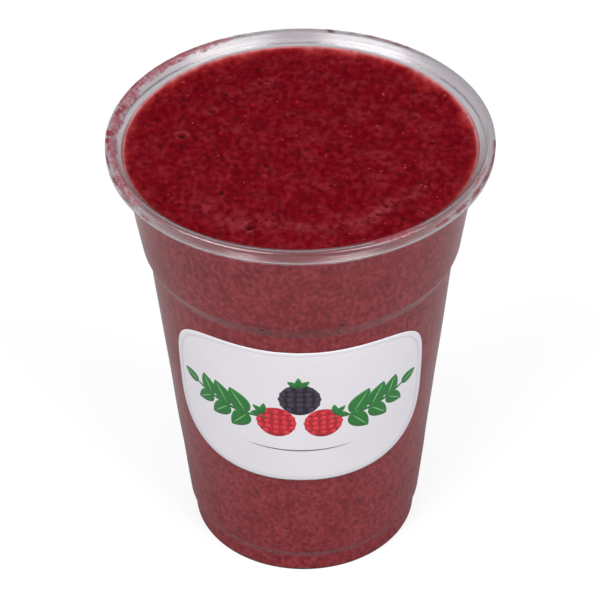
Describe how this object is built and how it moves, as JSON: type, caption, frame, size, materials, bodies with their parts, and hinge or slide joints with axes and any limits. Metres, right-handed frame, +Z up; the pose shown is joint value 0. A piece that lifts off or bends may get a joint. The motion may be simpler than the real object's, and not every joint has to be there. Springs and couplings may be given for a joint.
{
  "type": "berry smoothie in a cup",
  "caption": "Thick red berry smoothie filling a clear flared plastic cup with a rolled lip, a stepped wall, a footed base and a plain sticker.",
  "frame": {"origin": "centre of the foot ring, on the surface that the cup stands on", "axes": "+Z up along the cup's axis, -Y the side that the sticker faces, +X to the right of someone who looks at the sticker"},
  "size_m": [0.095, 0.095, 0.12],
  "materials": {
    "cup": "clear thermoformed PET, glossy",
    "smoothie": "thick blended fruit, wet, finely mottled",
    "label": "white coated sticker paper, satin"
  },
  "bodies": {
    "root": {"cup": "cup", "smoothie": "smoothie", "label": "label"}
  },
  "joints": []
}
